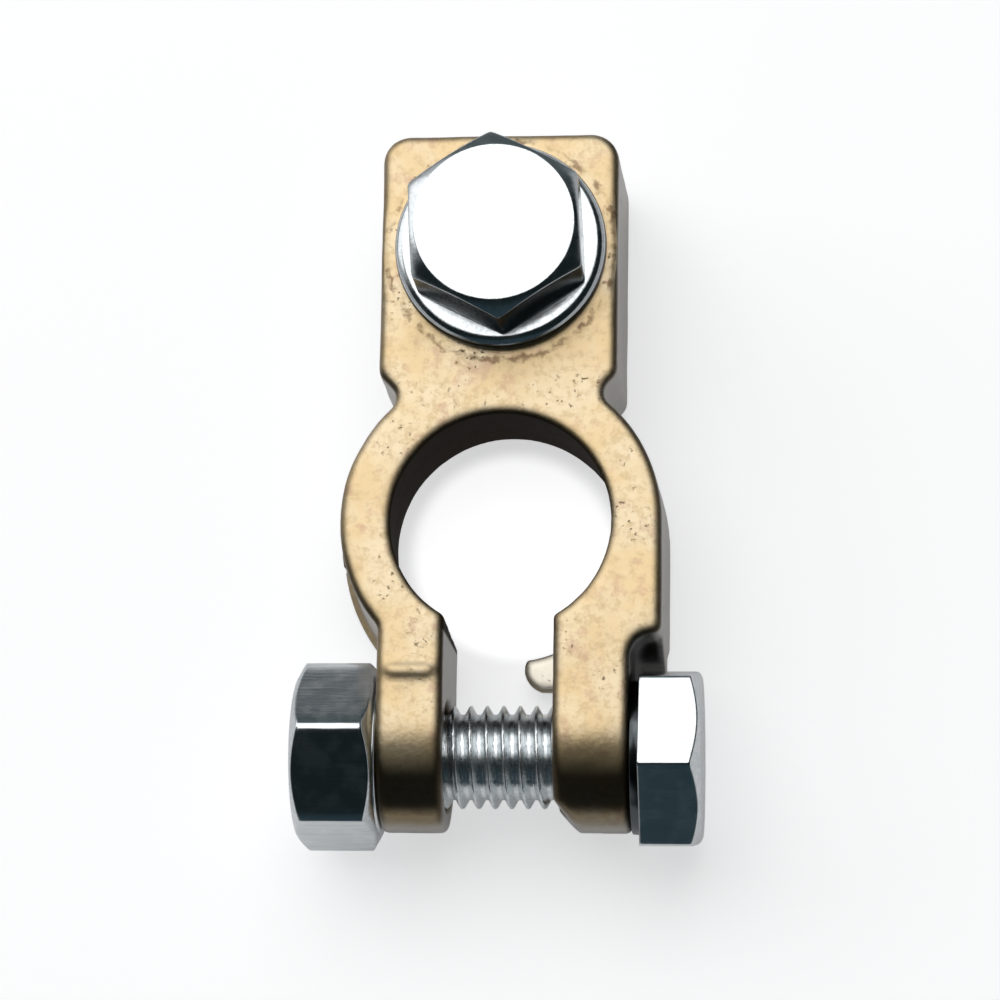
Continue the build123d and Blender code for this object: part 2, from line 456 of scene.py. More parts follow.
@dataclass(frozen=True)
class HexNut:
    """Hexagon nut with a washer face, chamfered at both ends and threaded right through.

    Attributes:
        mouth: Radius of the chamfered mouths of its hole.
        clearance: Room between its thread and the bolt's.
    """

    outline: Hexagon
    thickness: float = 6.4 * MM
    seat_height: float = 0.15 * MM
    seat_radius: float = 5.8 * MM
    soft: float = 0.09 * MM
    mouth: float = 4.5 * MM
    mouth_depth: float = 0.5 * MM
    clearance: float = 0.05 * MM
    crest_radius: float = 3.45 * MM
    steps: int = 90

    def build(self, name: str, thread: Thread, frame: AxisFrame) -> Piece:
        """Whole nut.

        Args:
            name: Name of the object.
            thread: Thread of the bolt that it runs on.
            frame: Outer end of the nut, its axis pointing to the bolt's head.

        Returns:
            The new object.
        """
        outline, high, soft = self.outline, self.thickness, self.soft
        body = high - self.seat_height
        face = outline.face_radius
        stack = RingStack(outline.angles())
        for radius, height in (
            (self.mouth - self.mouth_depth, self.mouth_depth),
            (self.mouth, 0.0),
            (face - soft, 0.0),
            (face + soft, soft * outline.chamfer_slope),
            (outline.inset(soft), outline.above(-soft / 2)),
            (outline.radius, outline.above(soft / 2)),
            (outline.radius, outline.above(3 * soft)),
            (outline.radius, outline.below(body, 3 * soft)),
            (outline.radius, outline.below(body, soft / 2)),
            (outline.inset(soft), outline.below(body, -soft / 2)),
            (face, body),
            (self.seat_radius, body),
            (self.seat_radius, high - soft),
            (self.seat_radius - soft, high),
            (self.mouth, high),
        ):
            stack.ring(radius, height)
        threaded = high - 2 * self.mouth_depth

        def wall(at: float) -> Radius:
            """Thread at a height, cut back by the nearer mouth."""
            least = max(self.crest_radius, self.mouth - min(at, high - at) - self.clearance)
            return lambda angle: max(thread.radius(angle, at) + self.clearance, least)

        for level in range(self.steps + 1):
            height = high - self.mouth_depth - threaded * level / self.steps
            stack.ring(wall(height), height)
        for start, end in zip(stack.first, stack.last):
            start.co = end.co
        return to_object(name, stack.finish(frame, closed=False))


@dataclass(frozen=True)
class Washer:
    """Flat washer with a rounded punched edge, spun from its section.

    Attributes:
        section: Radius and height of each point of the section, in millimetres.
    """

    section: tuple[Pair, ...] = (
        (4.25, 0.0), (7.85, 0.0), (8.02, 0.06), (8.1, 0.22), (8.1, 0.85), (8.06, 1.08),
        (7.95, 1.28), (7.78, 1.43), (7.57, 1.54), (7.35, 1.6), (4.5, 1.6), (4.3, 1.54),
        (4.22, 1.4), (4.2, 0.1),
    )
    sides: int = 144

    def build(self, name: str, frame: AxisFrame) -> Piece:
        """Whole washer.

        Args:
            name: Name of the object.
            frame: Underside of the washer, its axis pointing up.

        Returns:
            The new object.
        """
        mesh = bmesh.new()
        points = [mesh.verts.new((x * MM, 0, z * MM)) for x, z in self.section]
        edges = [mesh.edges.new(pair) for pair in zip(points, points[1:] + points[:1])]
        bmesh.ops.spin(
            mesh, geom=points + edges, cent=(0, 0, 0), axis=(0, 0, 1), angle=math.tau,
            steps=self.sides,
        )
        return to_object(name, placed(mesh, frame))


# ---- Shader node groups ----


@dataclass(frozen=True)
class Nodes:
    """Short way to add and wire nodes in one node tree."""

    tree: Tree

    def add(self, kind: str, **settings: object) -> Node:
        """Add a node.

        Args:
            kind: Node type, such as ShaderNodeTexNoise.
            settings: Values of its attributes, or values and sources of its input sockets
                where the name isn't an attribute.

        Returns:
            The new node.
        """
        node = self.tree.nodes.new(kind)
        for key, value in settings.items():
            if hasattr(node, key):
                setattr(node, key, value)
            else:
                self._feed(node.inputs[key.replace("_", " ").title()], value)
        return node

    def wire(self, source: Socket, target: Socket) -> None:
        """Link an output socket to an input socket."""
        self.tree.links.new(source, target)

    def math(self, operation: str, first: object, second: object = 0.0) -> Socket:
        """Add a Math node.

        Args:
            operation: Blender's name of the operation.
            first: Socket or number.
            second: Socket or number.

        Returns:
            The result's socket.
        """
        node = self.add("ShaderNodeMath", operation=operation)
        for index, value in enumerate((first, second)):
            self._feed(node.inputs[index], value)
        return node.outputs[0]

    def times(self, *factors: object) -> Socket:
        """Product of sockets and numbers."""
        return reduce(partial(self.math, "MULTIPLY"), factors)

    def plus(self, *terms: object) -> Socket:
        """Sum of sockets and numbers."""
        return reduce(partial(self.math, "ADD"), terms)

    def minus(self, first: object, second: object) -> Socket:
        """Difference of two sockets or numbers."""
        return self.math("SUBTRACT", first, second)

    def unsigned(self, value: Socket) -> Socket:
        """Value without its sign."""
        return self.math("ABSOLUTE", value)

    def ramp(self, value: Socket, low: float, high: float) -> Socket:
        """Map a value smoothly from low..high to 0..1.

        Args:
            value: Socket to map.
            low: Value that becomes 0.
            high: Value that becomes 1.

        Returns:
            The mapped socket.
        """
        node = self.add("ShaderNodeMapRange", interpolation_type="SMOOTHSTEP")
        self.wire(value, node.inputs["Value"])
        node.inputs["From Min"].default_value = low
        node.inputs["From Max"].default_value = high
        return node.outputs["Result"]

    def mix(self, amount: object, first: object, second: object) -> Socket:
        """Mix two colours.

        Args:
            amount: Socket or number from 0 to 1.
            first: Socket or colour at 0.
            second: Socket or colour at 1.

        Returns:
            The mixed colour's socket.
        """
        node = self.add("ShaderNodeMix", data_type="RGBA")
        self._feed(node.inputs["Factor"], amount)
        self._feed(node.inputs[6], first)
        self._feed(node.inputs[7], second)
        return node.outputs[2]

    def noise(self, vector: Socket, pattern: Triple) -> Socket:
        """Add a noise texture.

        Args:
            vector: Coordinates.
            pattern: Scale, octaves and roughness of the noise.

        Returns:
            The noise's value socket.
        """
        scale, detail, roughness = pattern
        node = self.add("ShaderNodeTexNoise", scale=scale, detail=detail, roughness=roughness)
        self.wire(vector, node.inputs["Vector"])
        return node.outputs[0]

    def split(self, vector: Socket) -> Axes:
        """Separate a vector into X, Y and Z."""
        return tuple(self.add("ShaderNodeSeparateXYZ", vector=vector).outputs)

    def distance(self, place: Axes, centre: Pair) -> Socket:
        """Distance from an upright axis that stands on a centre."""
        across, along = (self.minus(value, middle) for value, middle in zip(place, centre))
        return self.math("SQRT", self.plus(self.times(across, across), self.times(along, along)))

    def _feed(self, socket: Socket, value: object) -> None:
        """Wire a socket into an input, or set the input to a colour or number.

        Args:
            socket: The input.
            value: Socket, colour or number.
        """
        if isinstance(value, Socket):
            self.wire(value, socket)
        elif isinstance(value, (tuple, list)):
            socket.default_value = (*value, 1.0)[:4]
        else:
            socket.default_value = value


def new_group(name: str, inputs: dict[str, str]) -> tuple[Tree, Nodes, Node, Node]:
    """Start a shader node group that gives a surface.

    Args:
        name: Name of the group.
        inputs: Socket types by name.

    Returns:
        The tree, its node helper, and its input and output nodes.
    """
    tree = bpy.data.node_groups.new(name, "ShaderNodeTree")
    for label, kind in inputs.items():
        tree.interface.new_socket(label, in_out="INPUT", socket_type=kind)
    for label, kind in SURFACE.items():
        tree.interface.new_socket(label, in_out="OUTPUT", socket_type=kind)
    nodes = Nodes(tree)
    return tree, nodes, nodes.add("NodeGroupInput"), nodes.add("NodeGroupOutput")


def new_material(name: str) -> tuple[bpy.types.Material, Nodes]:
    """Start a material without nodes.

    Args:
        name: Name of the material.

    Returns:
        The material and its node helper.
    """
    material = bpy.data.materials.new(name)
    material.use_nodes = True
    material.node_tree.nodes.clear()
    return material, Nodes(material.node_tree)


def srgb(colour: Rgb) -> Triple:
    """Linear colour of an 8-bit screen colour.

    Args:
        colour: Red, green and blue, each from 0 to 255.

    Returns:
        Linear red, green and blue.
    """
    shares = (value / 255 for value in colour)
    return tuple(v / 12.92 if v <= 0.04045 else ((v + 0.055) / 1.055) ** 2.4 for v in shares)


@dataclass(frozen=True)
class Tint:
    """Screen colour laid over another one, and its strength where the mask is full."""

    colour: Rgb
    share: float = 1.0

    def over(self, n: Nodes, mask: Socket, base: object) -> Socket:
        """Lay the tint over a base colour."""
        return n.mix(n.times(mask, self.share), base, srgb(self.colour))


@dataclass(frozen=True)
class TumbledBrass:
    """Colours and patterns of a tumbled brass casting.

    A pattern gives the scale, octaves and roughness of its noise. Each tint lies over those
    that come before it.

    Attributes:
        rim_shade_share: Strength of the painted shade on the rims at the rear, and at the front
            and right.
        ear_end_unshaded: Share of the rims' painted shade that is left off at an ear's end.
        foot_unshaded: The same along the low foot.
        rim_dash_wander: How far the dark dashes round the boss stray from its rim.
        roughness: Roughness at the grain's low and high end.
    """

    clouds: Triple = (230, 4, 0.55)
    smudges: Triple = (640, 4, 0.6)
    grains: Triple = (1700, 3, 0.6)
    specks: Triple = (3000, 2, 0.5)
    deep: Rgb = (225, 199, 154)
    light: Rgb = (230, 211, 176)
    mottle: Tint = Tint((208, 182, 140), 0.60)
    blush: Tint = Tint((198, 162, 136), 0.55)
    pit: Tint = Tint((140, 108, 74), 0.60)
    # Darker brown dashes along the boss's rim.
    rim_dash: Tint = Tint((112, 84, 54), 0.70)
    foot: Tint = Tint((236, 228, 212))
    # Grey on the steep walls: painted reflection of the pale floor.
    wall: Tint = Tint((180, 176, 172), 0.92)
    # Painted shade and dark reflection on the rounded rims.
    edge: Tint = Tint((34, 25, 15))
    # Painted shade in the pocket beside the clamp bolt's head.
    notch_shade: Tint = Tint((26, 22, 16), 0.92)
    # Dark brown bore wall: partly dark oxide, partly painted shade of the recess.
    bore: Tint = Tint((56, 43, 26))
    rim_shade_share: Pair = (0.42, 0.90)
    ear_end_unshaded: float = 0.36
    foot_unshaded: float = 0.6
    rim_dash_wander: float = 1.3 * MM
    roughness: Pair = (0.25, 0.37)
    pit_roughness: float = 0.2
    bore_roughness: float = 0.45

    def rim_shade_mask(self, n: Nodes, place: Axes, facing: Axes, low: Socket) -> Socket:
        """Mask of the painted shade on the rims, stronger where they face the front or the
        right.

        Args:
            n: Nodes of the group.
            place: Coordinates.
            facing: Rounded normal.
            low: Mask of the low foot.

        Returns:
            The mask.
        """
        upward = n.unsigned(facing[2])
        least, most = self.rim_shade_share
        frontward = n.plus(n.times(facing[0], 0.5), n.times(facing[1], -0.8))
        share = n.plus(least, n.times(n.ramp(frontward, -0.6, 0.0), most - least))
        # Less of the painted shade low on the ears' ends and along the foot.
        lengthwise = n.ramp(n.unsigned(facing[0]), 0.35, 0.15)
        past_bolt = n.ramp(place[1], CLAMP_AXIS[0] - 1 * MM, CLAMP_AXIS[0] - 2 * MM)
        ear_end = n.times(lengthwise, n.ramp(upward, 0.72, 0.58), past_bolt, self.ear_end_unshaded)
        unshaded = n.math("MAXIMUM", ear_end, n.times(low, self.foot_unshaded))
        rim = n.times(n.ramp(upward, 0.985, 0.90), n.ramp(upward, 0.22, 0.50))
        reach = n.distance(place, CABLE_AXIS)
        off_boss = n.ramp(reach, BOSS_RADIUS + 0.3 * MM, BOSS_RADIUS + 1.0 * MM)
        below = n.ramp(place[2], BODY_HEIGHT - 0.02 * MM, BODY_HEIGHT - 0.12 * MM)
        return n.times(rim, n.math("MAXIMUM", off_boss, below), share, n.minus(1.0, unshaded))

    def group(self) -> Tree:
        """Node group of the casting's surface.

        Returns:
            Group with a colour, a roughness and a height.
        """
        inputs = {"Position": VECTOR, "Normal": VECTOR}
        tree, n, source, sink = new_group("tumbled_brass", inputs)
        position = source.outputs["Position"]
        place, facing = n.split(position), n.split(source.outputs["Normal"])
        x, y, z = place
        upward = n.unsigned(facing[2])
        patterns = (self.clouds, self.smudges, self.grains, self.specks)
        cloud, smudge, grain, speck = (n.noise(position, pattern) for pattern in patterns)
        spots = n.times(n.ramp(speck, 0.63, 0.74), n.ramp(cloud, 0.48, 0.62))
        pits = n.times(spots, n.ramp(upward, 0.965, 0.985))
        low = n.ramp(z, FOOT_THICKNESS + 0.5 * MM, FOOT_THICKNESS + 0.2 * MM)
        off_post = n.distance(place, POST_AXIS)
        in_bore = n.ramp(off_post, BORE_RADIUS + 0.5 * MM, BORE_RADIUS + 0.2 * MM)
        # The bore's wall is darker and rougher: partly dark oxide, partly painted shade of the
        # recess.
        bore_oxide_and_shade = n.times(in_bore, n.ramp(upward, 0.80, 0.60))

        # Darker brown dashes along the boss's rim.
        stray = n.times(n.minus(grain, 0.5), self.rim_dash_wander)
        off_rim = n.minus(n.plus(n.distance(place, CABLE_AXIS), stray), BOSS_RADIUS)
        along_rim = n.ramp(n.unsigned(off_rim), 0.34 * MM, 0.05 * MM)
        near_top = n.ramp(z, BODY_HEIGHT - 0.6 * MM, BODY_HEIGHT - 0.2 * MM)
        rim_dashes = n.times(along_rim, n.ramp(smudge, 0.42, 0.60), near_top)

        # Painted shade in the pocket beside the clamp bolt's head.
        past_ear = n.ramp(x, 9.3 * MM, 9.8 * MM)
        in_notch = n.ramp(x, 12.25 * MM, 12.05 * MM)
        behind = n.ramp(y, -8.4 * MM, -9.0 * MM)
        notch_shade = n.times(past_ear, in_notch, n.ramp(upward, 0.92, 0.75), behind)

        colour = n.mix(n.ramp(cloud, 0.36, 0.64), srgb(self.deep), srgb(self.light))
        for tint, mask in (
            (self.mottle, n.ramp(grain, 0.46, 0.66)),
            (self.blush, n.ramp(smudge, 0.54, 0.70)),
            (self.pit, pits),
            (self.rim_dash, rim_dashes),
            (self.foot, n.times(low, n.ramp(upward, 0.7, 0.9))),
            # Grey on the steep walls: painted reflection of the pale floor.
            (self.wall, n.ramp(upward, 0.60, 0.25)),
            # Painted shade on the rounded rims.
            (self.edge, self.rim_shade_mask(n, place, facing, low)),
            # Painted shade in the pocket beside the clamp bolt's head.
            (self.notch_shade, notch_shade),
            # Bore wall: partly dark oxide, partly painted shade of the recess.
            (self.bore, bore_oxide_and_shade),
        ):
            colour = tint.over(n, mask, colour)
        n.wire(colour, sink.inputs["Color"])

        smooth, dull = self.roughness
        rough = n.plus(smooth, n.times(grain, dull - smooth), n.times(pits, self.pit_roughness))
        n.wire(n.plus(rough, n.times(bore_oxide_and_shade, self.bore_roughness)), sink.inputs["Roughness"])
        height = n.plus(n.times(grain, 0.6), n.times(pits, -0.6), n.times(smudge, 0.7))
        n.wire(height, sink.inputs["Height"])
        return tree


@dataclass(frozen=True)
class ZincPlate:
    """Bright zinc plating with drawn streaks and mottling.

    A pattern gives the scale, octaves and roughness of its noise.

    Attributes:
        shade: Painted shade on the upright pieces' side faces, and on the seat that the clamp
            bolt's head keeps in the shade.
        seat_reach: Distance from the middle of the seat where its shade starts and is full.
        gap_reach: The same for the duller thread in the gap.
        roughness: Roughness at the streaks' low and high end.
    """

    streaks: Triple = (1.0, 4, 0.6)
    blots: Triple = (520, 4, 0.6)
    plain: Rgb = (226, 230, 232)
    bright: Rgb = (236, 239, 240)
    drawn: Tint = Tint((172, 188, 195), 0.4)
    shade: Tint = Tint((34, 42, 45), 0.9)
    seat_reach: Pair = (0.42 * MM, 0.32 * MM)
    gap_reach: Pair = (6.0 * MM, 5.5 * MM)
    roughness: Pair = (0.10, 0.20)
    gap_roughness: float = 0.09
    blot_roughness: float = 0.05

    def group(self) -> Tree:
        """Node group of the plating.

        Returns:
            Group with a colour, a roughness and a height.
        """
        inputs = {"Position": VECTOR, "Normal": VECTOR, "Streaks": VECTOR, "Upright": FLOAT}
        tree, n, source, sink = new_group("zinc_plating", inputs)
        position, upright = source.outputs["Position"], source.outputs["Upright"]
        x, facing_z = n.split(position)[0], n.split(source.outputs["Normal"])[2]
        across = n.minus(1.0, upright)
        stretched = n.add("ShaderNodeVectorMath", operation="MULTIPLY")
        n.wire(position, stretched.inputs[0])
        n.wire(source.outputs["Streaks"], stretched.inputs[1])
        streak = n.noise(stretched.outputs[0], self.streaks)
        mottle = n.noise(position, self.blots)
        blot = n.ramp(mottle, 0.44, 0.62)
        # Painted shade on the side faces of upright pieces and on the clamp bolt's seat.
        side = n.times(n.ramp(n.unsigned(facing_z), 0.60, 0.30), upright)
        off_seat = n.unsigned(n.minus(x, SEAT_MIDDLE_X))
        seat = n.times(n.ramp(off_seat, *self.seat_reach), across)
        tone = n.mix(blot, srgb(self.plain), srgb(self.bright))
        tone = self.drawn.over(n, n.ramp(streak, 0.45, 0.70), tone)
        tone = self.shade.over(n, n.math("MAXIMUM", side, seat), tone)
        n.wire(tone, sink.inputs["Color"])
        smooth, dull = self.roughness
        in_gap = n.ramp(n.unsigned(x), *self.gap_reach)
        rough = n.plus(smooth, n.times(in_gap, across, self.gap_roughness))
        rough = n.plus(rough, n.times(streak, dull - smooth), n.times(blot, self.blot_roughness))
        n.wire(rough, sink.inputs["Roughness"])
        n.wire(n.plus(n.times(streak, 0.7), n.times(mottle, 0.6)), sink.inputs["Height"])
        return tree


@dataclass(frozen=True)
class Finish:
    """Metal finish made from a node group and constant gloss settings.

    Attributes:
        streaks: Scale of the streaks along each axis.
        upright: Whether the axis of its pieces stands upright.
        metallic: Share of the surface that acts as bare metal.
        edge_radius: Radius over which edges are shaded as rounded.
        spill: Colour that the matt floor receives from it.
    """

    name: str
    bump_distance: float
    streaks: Triple | None = None
    upright: bool = False
    metallic: float = 1.0
    edge_radius: float = 0.0
    spill: Triple | None = None

    def material(self, group: Tree) -> bpy.types.Material:
        """Build the material.

        Args:
            group: Node group that gives colour, roughness and height.

        Returns:
            The new material.
        """
        made, n = new_material(self.name)
        where = n.add("ShaderNodeTexCoord")
        normal = where.outputs["Normal"]
        bump = n.add("ShaderNodeBump", distance=self.bump_distance)
        if self.edge_radius:
            edge = n.add("ShaderNodeBevel", samples=6, radius=self.edge_radius)
            normal = edge.outputs["Normal"]
            n.wire(normal, bump.inputs["Normal"])
        skin = n.add(
            "ShaderNodeGroup", node_tree=group, position=where.outputs["Object"], normal=normal
        )
        if self.streaks is not None:
            skin.inputs["Streaks"].default_value = self.streaks
            skin.inputs["Upright"].default_value = float(self.upright)
        n.wire(skin.outputs["Height"], bump.inputs["Height"])
        colour = skin.outputs["Color"]
        if self.spill is not None:
            rays = n.add("ShaderNodeLightPath")
            colour = n.mix(rays.outputs["Is Diffuse Ray"], colour, self.spill)
        shader = n.add(
            "ShaderNodeBsdfPrincipled", base_color=colour, metallic=self.metallic,
            roughness=skin.outputs["Roughness"], normal=bump.outputs["Normal"],
        )
        n.add("ShaderNodeOutputMaterial", surface=shader.outputs["BSDF"])
        return made


# ---- Sub-assemblies ----


@dataclass
class Workshop:
    """Shared finishes, and the one way in which a piece is dressed."""

    finishes: dict[Skin, bpy.types.Material] = field(default_factory=dict)

    def prepare(self) -> None:
        """Make the materials that the pieces share."""
        casting = Finish(
            "tumbled_brass_casting", 0.03 * MM, metallic=0.82, edge_radius=0.9 * MM,
            spill=(0.3, 0.3, 0.3),
        )
        across = Finish("zinc_plate_clamp", 0.008 * MM, (250.0, 3600.0, 3600.0))
        upright = Finish("zinc_plate_cable", 0.008 * MM, (3600.0, 3600.0, 250.0), upright=True)
        brass, zinc = TumbledBrass().group(), ZincPlate().group()
        self.finishes = {
            Skin.CASTING: casting.material(brass),
            Skin.ACROSS: across.material(zinc),
            Skin.UPRIGHT: upright.material(zinc),
        }

    def dress(self, piece: Piece, skin: Skin, body: Body, node: str) -> None:
        """Give a piece its finish and body, and hide the CAD node that it replaces.

        Args:
            piece: New piece.
            skin: Its finish.
            body: Body that it rides on.
            node: CAD node that it replaces.
        """
        piece.data.materials.clear()
        piece.data.materials.append(self.finishes[skin])
        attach(piece, body.value)
        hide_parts(node)
        LOG.info("%s rides on %s and replaces %s", piece.name, body.value, node)


@dataclass(frozen=True)
class Casting:
    """Ring, tab and ears in one casting, softened and with a slightly uneven skin.

    Attributes:
        voxel: Grid of the remesh.
        keep_share: Share of its faces that are kept.
        weld: Distance within which the solid's loose triangles are merged.
        broad: Height and width of the broad waves.
        fine: The same for the fine waves.
        fine_offset: Place where their pattern starts.
        ear_round_length: Length of each ear's end that curves.
        boss_flat_radius: Radius up to which the boss keeps its height.
        boss_rim_share: Share of its height that its rim keeps.
    """

    voxel: float = 0.15 * MM
    keep_share: float = 0.45
    weld: float = 2e-7
    smoothing_passes: int = 3
    smoothing: float = 0.5
    broad: Pair = (0.035 * MM, 3.2 * MM)
    fine: Pair = (0.012 * MM, 0.7 * MM)
    fine_offset: Triple = (7.0, 3.0, 1.0)
    ear_round_length: float = 7.6 * MM
    boss_flat_radius: float = 7.6 * MM
    boss_rim_width: float = 0.4 * MM
    boss_rim_share: float = 0.2

    def ear_ease(self, y: float) -> float:
        """Share of its height that an ear keeps, so that its end curves from further back.

        Args:
            y: Place along the ear.

        Returns:
            1 up to where the curve begins, and a little less towards the tip.
        """
        radius = CLAMP_AXIS[1]
        tip = CLAMP_AXIS[0] - radius
        past_eased = (tip + self.ear_round_length - y) / self.ear_round_length
        past_round = (CLAMP_AXIS[0] - y) / radius
        eased, plain = (min(max(past, 0.0), 0.999) for past in (past_eased, past_round))
        return min(math.sqrt((1 - eased**2) / (1 - plain**2)), 1.0)

    def boss_ease(self, place: Vector) -> float:
        """Height to take off the rim of the boss, which the washer hides on its inner side.

        Args:
            place: Point of the casting.

        Returns:
            Drop at that point.
        """
        reach = math.hypot(place.x - CABLE_AXIS[0], place.y - CABLE_AXIS[1])
        outward = min(max((reach - self.boss_flat_radius) / self.boss_rim_width, 0.0), 1.0)
        return max(place.z - BODY_HEIGHT, 0.0) * (1 - self.boss_rim_share) * outward

    def remeshed(self, solid: Mesh) -> Mesh:
        """Even mesh of small faces over a solid.

        Args:
            solid: Closed mesh of the casting, which is freed here.

        Returns:
            A new closed mesh.
        """
        data = bpy.data.meshes.new("casting_blank")
        solid.to_mesh(data)
        solid.free()
        blank = bpy.data.objects.new("casting_blank", data)
        bpy.context.scene.collection.objects.link(blank)
        remesh = blank.modifiers.new("voxels", "REMESH")
        remesh.mode = "VOXEL"
        remesh.voxel_size = self.voxel
        blank.modifiers.new("lean", "DECIMATE").ratio = self.keep_share
        graph = bpy.context.evaluated_depsgraph_get()
        dense = bpy.data.meshes.new_from_object(blank.evaluated_get(graph))
        mesh = bmesh.new()
        mesh.from_mesh(dense)
        bpy.data.objects.remove(blank)
        bpy.data.meshes.remove(dense)
        bpy.data.meshes.remove(data)
        return mesh

    def build(self, shop: Workshop, node: Piece) -> None:
        """Soften a copy of the casting's solid, roughen its skin and dress it.

        Args:
            shop: Where its finish comes from.
            node: CAD node of the casting, which isn't changed.
        """
        solid = bmesh.new()
        solid.from_mesh(node.data)
        bmesh.ops.remove_doubles(solid, verts=solid.verts[:], dist=self.weld)
        low = [min(v.co[i] for v in solid.verts) for i in range(3)]
        high = [max(v.co[i] for v in solid.verts) for i in range(3)]
        mesh = self.remeshed(solid)
        for _ in range(self.smoothing_passes):
            bmesh.ops.smooth_vert(
                mesh, verts=mesh.verts[:], factor=self.smoothing,
                use_axis_x=True, use_axis_y=True, use_axis_z=True,
            )
        mesh.normal_update()
        (broad_height, broad_width), (fine_height, fine_width) = self.broad, self.fine
        for vert in mesh.verts:
            vert.co.z = CLAMP_AXIS[1] + (vert.co.z - CLAMP_AXIS[1]) * self.ear_ease(vert.co.y)
            if vert.co.y > 0:
                vert.co.z -= self.boss_ease(vert.co)
            broad = noise.noise(vert.co / broad_width)
            fine = noise.noise(vert.co / fine_width + Vector(self.fine_offset))
            vert.co += vert.normal * (broad * broad_height + fine * fine_height)
            for i in range(3):
                vert.co[i] = min(max(vert.co[i], low[i]), high[i])
        piece = to_object("casting", mesh, ALL_SMOOTH)
        shop.dress(piece, Skin.CASTING, Body.CLAMP, "clamp_body")


@dataclass(frozen=True)
class ClampHardware:
    """Bolt and nut that draw the ears together.

    Attributes:
        crest_x: Place along the bolt where a crest passes its rear side.
        rear: Angle of that side about the bolt, in radians.
    """

    bolt: HexBolt = HexBolt(25 * MM, Hexagon(12.8 * MM, 6.05 * MM, -18.0))
    nut: HexNut = HexNut(Hexagon(12.8 * MM, 6.05 * MM, 19.6, corner_sharpness=34.0))
    crest_x: float = 0.0375 * MM
    rear: float = math.radians(-90)

    def frame(self, x: float) -> AxisFrame:
        """Frame at a place on the bolt's axis, pointing to its head."""
        return AxisFrame(Vector((x, *CLAMP_AXIS)), Vector((0, 0, 1)), Vector((1, 0, 0)))

    def thread(self, x: float) -> Thread:
        """The bolt's thread, with its heights counted from a place on the axis."""
        return Thread(CREST, ROOT, PITCH, self.crest_x - x - PITCH * self.rear / math.tau)

    def build(self, shop: Workshop) -> None:
        """Make and dress the bolt and the nut.

        Args:
            shop: Where their finish comes from.
        """
        seat = EAR_RIGHT_X
        bolt = self.bolt.build("clamp_bolt_threaded", self.thread(seat), self.frame(seat))
        shop.dress(bolt, Skin.ACROSS, Body.CLAMP_BOLT, "clamp_bolt")
        outer = EAR_LEFT_X - self.nut.thickness
        nut = self.nut.build("clamp_nut_threaded", self.thread(outer), self.frame(outer))
        shop.dress(nut, Skin.ACROSS, Body.CLAMP_NUT, "clamp_nut")


@dataclass(frozen=True)
class CableHardware:
    """Bolt and washer that hold the cable's eye on the tab."""

    bolt: HexBolt = HexBolt(12 * MM, Hexagon(12.8 * MM, 6.05 * MM, 3.2), seat_height=0.3 * MM)
    washer: Washer = Washer()

    def frame(self, z: float) -> AxisFrame:
        """Frame at a height on the bolt's axis, pointing up."""
        return AxisFrame(Vector((*CABLE_AXIS, z)), Vector((1, 0, 0)), Vector((0, 0, 1)))

    def build(self, shop: Workshop) -> None:
        """Make and dress the bolt and the washer.

        Args:
            shop: Where their finish comes from.
        """
        thread = Thread(CREST, ROOT, PITCH, 0.0)
        bolt = self.bolt.build("cable_bolt_threaded", thread, self.frame(CABLE_SEAT))
        shop.dress(bolt, Skin.UPRIGHT, Body.CABLE_BOLT, "cable_bolt")
        ring = self.washer.build("cable_washer_punched", self.frame(BOSS_TOP))
        shop.dress(ring, Skin.UPRIGHT, Body.CABLE_WASHER, "cable_washer")


# ---- Studio ----


@dataclass(frozen=True)
class CameraFit:
    """Camera found from the object's own outline.

    Attributes:
        focal_share: Focal length as a share of the picture's width.
        distance: Distance from the middle of the bore's top mouth.
        tilt: Lean towards the front, in degrees.
        pan: Lean towards the side, in degrees.
        roll: Turn about the line of sight, in degrees.
        shift_right: Offset of the aim to the right.
        shift_up: Offset of the aim upwards.
        sensor: Width of the sensor, in millimetres.
        clip: Nearest and farthest distance that are drawn.
    """

    focal_share: float = 3.4987
    distance: float = 263.6 * MM
    tilt: float = 12.97
    pan: float = -5.19
    roll: float = 0.89
    shift_right: float = -0.02 * MM
    shift_up: float = -1.47 * MM
    sensor: float = 36.0
    clip: Pair = (0.01, 10.0)

    def build(self) -> None:
        """Make the camera and set it as the scene's own."""
        tilt, pan, roll = (math.radians(v) for v in (self.tilt, self.pan, self.roll))
        back = Vector(
            (-math.sin(pan), -math.sin(tilt) * math.cos(pan), math.cos(tilt) * math.cos(pan))
        )
        level = Vector((0, 1, 0)).cross(back).normalized()
        rise = back.cross(level)
        right = math.cos(roll) * level + math.sin(roll) * rise
        up = -math.sin(roll) * level + math.cos(roll) * rise
        place = back * self.distance - right * self.shift_right - up * self.shift_up
        place.z += BODY_HEIGHT
        data = bpy.data.cameras.new("camera")
        data.sensor_width = self.sensor
        data.lens = self.focal_share * self.sensor
        data.clip_start, data.clip_end = self.clip
        camera = bpy.data.objects.new("camera", data)
        turn = Matrix((right, up, back)).transposed().to_4x4()
        camera.matrix_world = Matrix.Translation(place) @ turn
        bpy.context.scene.collection.objects.link(camera)
        bpy.context.scene.camera = camera


